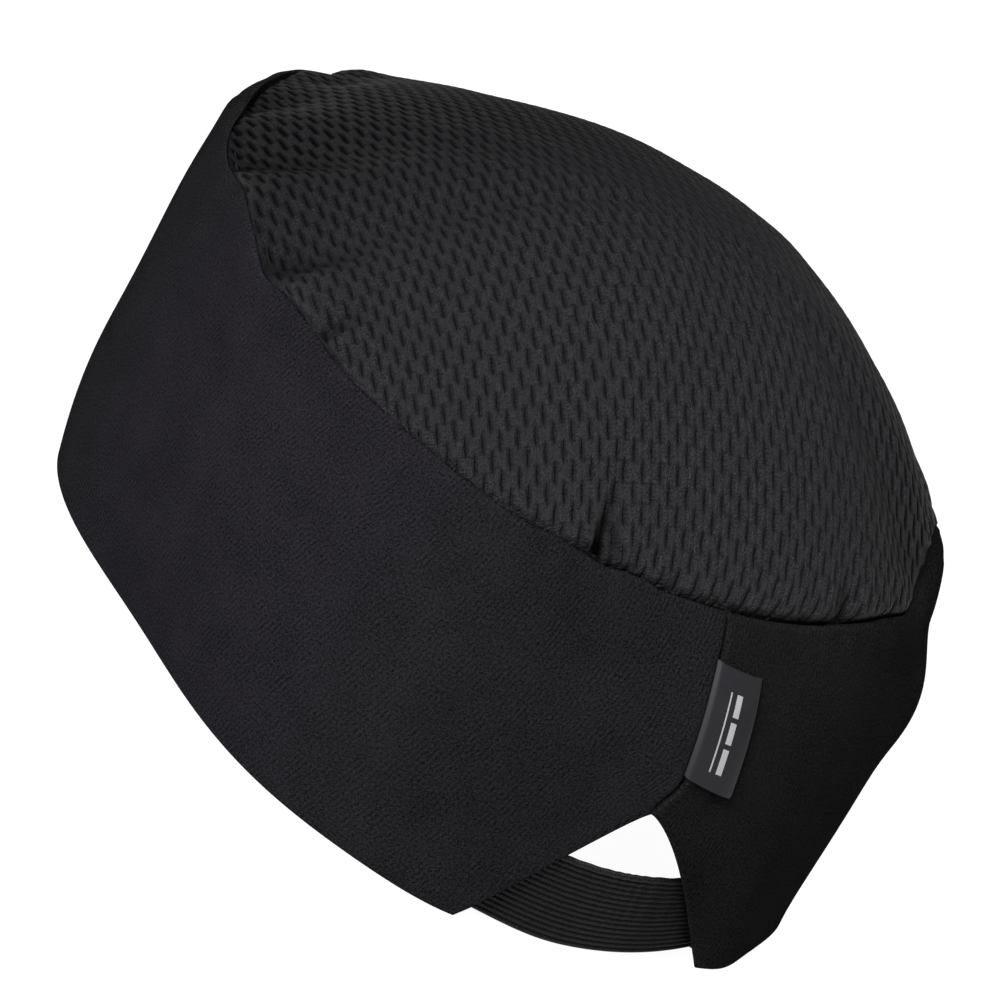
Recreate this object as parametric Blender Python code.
"""Chef's skull cap: a soft low cap with a pull-over side band, a breathable crown panel and an
elastic across a notch at the nape.

The cap stands on its rim. +Z is up, -Y is the forehead and +X is the wearer's left. The origin is
the centre of the cap's box in X and Y, at the level of the rim. The driving dimensions below are
in millimetres, and objects are made in metres. Angles run round the cap from the forehead (0)
over the wearer's left ear (90 degrees) to the nape (180 degrees).
"""

import bpy
import bmesh
import numpy as np

MM = 0.001
NAPE = np.pi

# Plan of the rim and of the crown seam: mean radius, then the first four cosine harmonics.
RIM_PLAN = (90.0, 0.5, 7.0, -2.3, -4.0)
SEAM_PLAN = (89.5, 18.5, 5.2, 3.8, -0.3)
SEAM_HEIGHT = (79.0, 3.5, -2.2)  # mean height of the crown seam, then two cosine harmonics
BELLY = 5.0  # how far the band stands out between rim and seam
BELLY_FRONT = -1.3  # what the forehead adds to the belly, and the nape takes off
BELLY_RISE = 0.35  # moves the fullest level of the belly up
BELLY_RISE_SIDE = -0.6  # the wearer's left is full low down, the right is full high up
CROWN_RISE = 44.2  # height of the crown's top above the seam
CROWN_FRONT = -0.1  # negative is flatter over the forehead and fuller over the nape

BAND_THICKNESS = 1.2
LINING_THICKNESS = 0.7
CROWN_THICKNESS = 0.9
GAP = 0.3  # between pieces that are sewn together
FACET_GAP = 0.2  # more room where two faceted curved pieces lie on each other

NOTCH_CENTRE_X = 1.8
NOTCH_HALF_WIDTH = 30.5
NOTCH_HEIGHT = 34.0
NOTCH_POWER = 1.32  # 1 is a triangle, 2 is a parabola
LINING_LIFT = 0.8  # the lining ends this much above the rim

ELASTIC_WIDTH = 19.0
ELASTIC_THICKNESS = 1.0
ELASTIC_BOTTOM = 0.6
ELASTIC_HALF_LENGTH = 40.0
ELASTIC_INSET = BAND_THICKNESS + GAP
POCKET_HALF_WIDTH = 48.0  # the lining stands off this far each way, to pass over the elastic's ends
POCKET_TOP = 48.0
POCKET_FADE = 12.0

ALLOWANCE_DEPTH = 7.0
ALLOWANCE_THICKNESS = 1.4
THREAD_RADIUS = 0.25
EDGE_STITCH_INSET = 1.3
TACK_STITCH_INSET = 3.4
OVERLOCK_RADIUS = 0.8

LABEL_TOP = 64.5
LABEL_LENGTH = 25.0
LABEL_WIDTH = 14.0
LABEL_DROP = 2.2  # the free edge hangs this much lower than the sewn edge
LABEL_THICKNESS = 0.7
LABEL_LIFT = 0.45

CARE_LABEL_ANGLE = np.radians(158.0)
CARE_LABEL_WIDTH = 25.0
CARE_LABEL_LENGTH = 32.0
CARE_LABEL_THICKNESS = 0.5
CARE_LABEL_TOP = 70.0
CARE_LABEL_INSET = 6.2

BAND_COLUMNS = 60
NOTCH_COLUMNS = 12
BAND_ROWS = 7
CROWN_COLUMNS = 60
CROWN_ROWS = 9
CROWN_HUB = 0.06  # radius of the crown's innermost ring, as a share of the seam's


def clear_scene():
    for obj in list(bpy.data.objects):
        bpy.data.objects.remove(obj, do_unlink=True)


def material(name, colour, roughness):
    made = bpy.data.materials.new(name)
    made.use_nodes = True
    made.diffuse_color = (*colour, 1.0)
    shader = made.node_tree.nodes["Principled BSDF"]
    shader.inputs["Base Color"].default_value = (*colour, 1.0)
    shader.inputs["Roughness"].default_value = roughness
    shader.inputs["Metallic"].default_value = 0.0
    return made


def harmonics(terms, angle):
    return sum(term * np.cos(order * angle) for order, term in enumerate(terms))


def smooth_step(value):
    value = np.clip(value, 0.0, 1.0)
    return value * value * (3.0 - 2.0 * value)


def seam_height(angle):
    return harmonics(SEAM_HEIGHT, angle)


def band_point(angle, height, inset=0.0):
    """A point of the side band, this far inside its outer face."""
    angle, height, inset = np.broadcast_arrays(angle, height, inset)
    level = height / seam_height(angle)
    radius = harmonics(RIM_PLAN, angle) * (1.0 - level) + harmonics(SEAM_PLAN, angle) * level
    belly = BELLY + BELLY_FRONT * np.cos(angle)
    rise = BELLY_RISE + BELLY_RISE_SIDE * np.sin(angle)
    radius = radius + belly * 4.0 * level * (1.0 - level) * (1.0 + rise * (2.0 * level - 1.0))
    radius = radius - inset
    return np.stack([radius * np.sin(angle), -radius * np.cos(angle), height], axis=-1)


def crown_point(angle, share):
    """A point of the crown's outer face, where share is 1 at the seam and 0 at the top."""
    radius = harmonics(SEAM_PLAN, angle) * share
    height = seam_height(angle) * share + SEAM_HEIGHT[0] * (1.0 - share)
    height = height + CROWN_RISE * (1.0 - share**2) * (1.0 + CROWN_FRONT * share**2 * np.cos(angle))
    return np.stack([radius * np.sin(angle), -radius * np.cos(angle), height], axis=-1)


def nape_angle(x):
    """The angle at which the rim passes this x, beside the nape."""
    angle = np.full(np.shape(x), NAPE)
    for _ in range(8):
        angle = NAPE - np.arcsin(x / harmonics(RIM_PLAN, angle))
    return angle


def notch_height(x):
    across = np.clip(np.abs(x - NOTCH_CENTRE_X) / NOTCH_HALF_WIDTH, 0.0, 1.0)
    return NOTCH_HEIGHT * (1.0 - across**NOTCH_POWER)


def band_angles():
    """Angles of the band's columns, with one on each corner of the notch and one on its top."""
    x = NOTCH_CENTRE_X + NOTCH_HALF_WIDTH * np.linspace(1.0, -1.0, NOTCH_COLUMNS + 1)
    across_notch = nape_angle(x)
    round_front = np.linspace(across_notch[-1], across_notch[0] + 2.0 * np.pi, BAND_COLUMNS + 1)
    return np.concatenate([across_notch, round_front[1:-1]])


def lower_edge(angle):
    x = harmonics(RIM_PLAN, angle) * np.sin(angle)
    return np.where(np.cos(angle) < 0.0, notch_height(x), 0.0)


def pocket_depth(point):
    """How far the lining stands off the band at the nape, over the elastic's ends."""
    beside = smooth_step((POCKET_HALF_WIDTH - np.abs(point[..., 0] - NOTCH_CENTRE_X)) / POCKET_FADE)
    below = smooth_step((POCKET_TOP - point[..., 2]) / POCKET_FADE)
    at_nape = point[..., 1] > 0.0
    return np.where(at_nape, (ELASTIC_THICKNESS + GAP) * beside * below, 0.0)


def band_grid(lift=0.0):
    """Angles and heights of the band's grid: a row is one level and a column is one angle."""
    angle = band_angles()
    low = lower_edge(angle) + lift
    share = np.linspace(0.0, 1.0, BAND_ROWS + 1)[:, None]
    return angle, low + (seam_height(angle) - low) * share


def elastic_grid():
    x = NOTCH_CENTRE_X + ELASTIC_HALF_LENGTH * np.linspace(1.0, -1.0, 2 * NOTCH_COLUMNS + 1)
    height = ELASTIC_BOTTOM + ELASTIC_WIDTH * np.linspace(0.0, 1.0, 4)[:, None]
    return nape_angle(x), height


def centre_shift():
    """What moves the cap's box to be centred on the origin: the elastic is its rearmost piece."""
    band = band_point(*band_grid())
    elastic = band_point(*elastic_grid(), ELASTIC_INSET)
    points = np.concatenate([band.reshape(-1, 3), elastic.reshape(-1, 3)])
    middle = (points.min(axis=0) + points.max(axis=0)) / 2.0
    return np.array([-middle[0], -middle[1], 0.0])


SHIFT = centre_shift()


def add_object(name, mesh, finish):
    mesh.materials.append(finish)
    made = bpy.data.objects.new(name, mesh)
    bpy.context.scene.collection.objects.link(made)
    return made


def thick_sheet(name, outer, inner, finish, closed_ring=False, hub=False):
    """A sheet with thickness, from matching grids of points on its two faces.

    A row of the grids is one level and a column is one angle. A closed ring joins the last
    column to the first, and a hub closes the last row of both faces with a fan.
    """
    rows, columns = outer.shape[:2]
    form = bmesh.new()
    faces = [
        [[form.verts.new((point + SHIFT) * MM) for point in row] for row in face]
        for face in (outer, inner)
    ]
    steps = columns if closed_ring else columns - 1
    for row in range(rows - 1):
        for step in range(steps):
            after = (step + 1) % columns
            for face in faces:
                form.faces.new(
                    (face[row][step], face[row][after], face[row + 1][after], face[row + 1][step])
                )
    open_rows = [0] if hub else [0, rows - 1]
    for row in open_rows:
        for step in range(steps):
            after = (step + 1) % columns
            form.faces.new(
                (faces[0][row][step], faces[0][row][after], faces[1][row][after], faces[1][row][step])
            )
    if hub:
        for face, points in zip(faces, (outer, inner)):
            middle = form.verts.new((points[-1].mean(axis=0) + SHIFT) * MM)
            for step in range(steps):
                form.faces.new((face[-1][step], face[-1][(step + 1) % columns], middle))
    if not closed_ring:
        for column in (0, columns - 1):
            for row in range(rows - 1):
                form.faces.new(
                    (
                        faces[0][row][column],
                        faces[0][row + 1][column],
                        faces[1][row + 1][column],
                        faces[1][row][column],
                    )
                )
    bmesh.ops.recalc_face_normals(form, faces=form.faces)
    mesh = bpy.data.meshes.new(name)
    form.to_mesh(mesh)
    form.free()
    mesh.shade_smooth()
    mesh.set_sharp_from_angle(angle=np.radians(40.0))
    return add_object(name, mesh, finish)


def cord(name, points, radius, finish, cyclic=False):
    """A round thread through these points."""
    curve = bpy.data.curves.new(name, "CURVE")
    curve.dimensions = "3D"
    curve.bevel_depth = radius * MM
    curve.bevel_resolution = 1
    curve.use_fill_caps = not cyclic
    spline = curve.splines.new("POLY")
    spline.points.add(len(points) - 1)
    for target, point in zip(spline.points, points):
        target.co = (*((point + SHIFT) * MM), 1.0)
    spline.use_cyclic_u = cyclic
    return add_object(name, curve, finish)


def band_layer(name, face_inset, thickness, lift, finish, pocket=False):
    angle, height = band_grid(lift)
    inset = face_inset + (pocket_depth(band_point(angle, height)) if pocket else 0.0)
    outer = band_point(angle, height, inset)
    inner = band_point(angle, height, inset + thickness)
    return thick_sheet(name, outer, inner, finish, closed_ring=True)


def side_band_outer():
    """The band's outer cloth, open at the nape's notch. Its bottom edge is what the cap stands on."""
    finish = material("band_twill", (0.020, 0.019, 0.023), 0.85)
    band_layer("side_band_outer", 0.0, BAND_THICKNESS, 0.0, finish)


def side_band_lining():
    """The facing inside the band, which passes over the elastic's ends."""
    finish = material("lining_cotton", (0.024, 0.023, 0.026), 0.9)
    inset = BAND_THICKNESS + GAP + FACET_GAP
    band_layer("side_band_lining", inset, LINING_THICKNESS, LINING_LIFT, finish, pocket=True)


def crown_panel():
    """The crown: one domed panel of breathable mesh, sewn to the band all round."""
    finish = material("crown_mesh", (0.028, 0.026, 0.030), 0.75)
    angle = np.linspace(0.0, 2.0 * np.pi, CROWN_COLUMNS, endpoint=False)
    share = np.linspace(1.0, CROWN_HUB, CROWN_ROWS + 1)[:, None]
    outer = crown_point(angle, share)
    across = crown_point(angle + 0.01, share) - crown_point(angle - 0.01, share)
    up = crown_point(angle, np.maximum(share - 0.01, 0.0)) - crown_point(angle, share)
    normal = np.cross(across, up)
    normal /= np.linalg.norm(normal, axis=-1, keepdims=True)
    normal[0, :, 2] = 0.0
    outer[..., 2] += GAP
    inner = outer - normal * CROWN_THICKNESS
    inner[0, :, 2] = outer[0, :, 2]
    thick_sheet("crown_panel", outer, inner, finish, closed_ring=True, hub=True)


def allowance_inset():
    return BAND_THICKNESS + LINING_THICKNESS + 2.0 * (GAP + FACET_GAP)


def crown_seam_allowance():
    """The seam allowances of crown, band and lining, turned down inside the cap."""
    finish = material("allowance_cloth", (0.022, 0.021, 0.025), 0.9)
    angle = band_angles()
    top = seam_height(angle) - GAP
    height = top - np.array([ALLOWANCE_DEPTH, ALLOWANCE_DEPTH / 2.0, 0.0])[:, None]
    inset = allowance_inset()
    outer = band_point(angle, height, inset)
    inner = band_point(angle, height, inset + ALLOWANCE_THICKNESS)
    thick_sheet("crown_seam_allowance", outer, inner, finish, closed_ring=True)


def allowance_overlock():
    """The overlock thread that binds the allowance's raw edge."""
    finish = material("overlock_thread", (0.03, 0.03, 0.034), 0.8)
    angle = band_angles()
    height = seam_height(angle) - ALLOWANCE_DEPTH - 2.0 * GAP - OVERLOCK_RADIUS
    inset = allowance_inset() + OVERLOCK_RADIUS + FACET_GAP
    cord("allowance_overlock", band_point(angle, height, inset), OVERLOCK_RADIUS, finish, cyclic=True)


def rear_elastic():
    """The ribbed elastic across the notch. Its ends are caught between band and lining."""
    finish = material("elastic_rib", (0.013, 0.013, 0.014), 0.7)
    angle, height = elastic_grid()
    outer = band_point(angle, height, ELASTIC_INSET)
    inner = band_point(angle, height, ELASTIC_INSET + ELASTIC_THICKNESS)
    thick_sheet("rear_elastic", outer, inner, finish)


def notch_line(inset, first, last, count):
    """Points beside the notch's edge, from one share of its half width to another."""
    share = np.linspace(first, last, count)
    x = NOTCH_CENTRE_X + (NOTCH_HALF_WIDTH + inset) * share
    height = (NOTCH_HEIGHT + inset) * (1.0 - np.abs(share) ** NOTCH_POWER)
    angle = nape_angle(x)
    return band_point(angle, height, -(THREAD_RADIUS + GAP))


def notch_stitches():
    """The topstitch round the notch and, beside it, the rows that hold the elastic's ends."""
    finish = material("sewing_thread", (0.035, 0.034, 0.04), 0.6)
    cord("notch_topstitch", notch_line(EDGE_STITCH_INSET, 0.97, -0.97, 41), THREAD_RADIUS, finish)
    for name, first, last in (("elastic_stitch_left", 0.95, 0.55), ("elastic_stitch_right", -0.55, -0.95)):
        cord(name, notch_line(TACK_STITCH_INSET, first, last, 11), THREAD_RADIUS, finish)


def label_tab():
    """The folded woven label, caught in the back seam along one long edge."""
    finish = material("label_satin", (0.034, 0.034, 0.042), 0.45)
    across = LABEL_WIDTH * np.linspace(0.0, 1.0, 6)
    along = np.linspace(0.0, 1.0, 6)[:, None]
    run = band_point(NAPE, LABEL_TOP) - band_point(NAPE, LABEL_TOP - 1.0)
    rise = LABEL_LENGTH / np.linalg.norm(run)
    height = LABEL_TOP - rise * (1.0 - along) - LABEL_DROP * across / LABEL_WIDTH
    angle = NAPE + (across + GAP) / harmonics(SEAM_PLAN, NAPE)
    inner = band_point(angle, height, -LABEL_LIFT)
    outer = band_point(angle, height, -(LABEL_LIFT + LABEL_THICKNESS))
    thick_sheet("label_tab", outer, inner, finish)


def care_label():
    """The fibre and washing label, hanging free inside from the seam allowance. It is blank."""
    finish = material("care_label_tape", (0.62, 0.62, 0.60), 0.6)
    hang = band_point(CARE_LABEL_ANGLE, CARE_LABEL_TOP, CARE_LABEL_INSET)
    beside = band_point(CARE_LABEL_ANGLE + 0.05, CARE_LABEL_TOP, CARE_LABEL_INSET)
    along = (beside - hang) / np.linalg.norm(beside - hang)
    inward = np.cross(np.array([0.0, 0.0, 1.0]), along)
    across = CARE_LABEL_WIDTH * np.linspace(-0.5, 0.5, 5)
    down = CARE_LABEL_LENGTH * np.linspace(1.0, 0.0, 5)
    outer = hang + along * across[:, None] - np.array([0.0, 0.0, 1.0]) * down[:, None, None]
    thick_sheet("care_label", outer, outer + inward * CARE_LABEL_THICKNESS, finish)


def main():
    clear_scene()
    side_band_outer()
    side_band_lining()
    crown_panel()
    crown_seam_allowance()
    allowance_overlock()
    rear_elastic()
    notch_stitches()
    label_tab()
    care_label()


main()
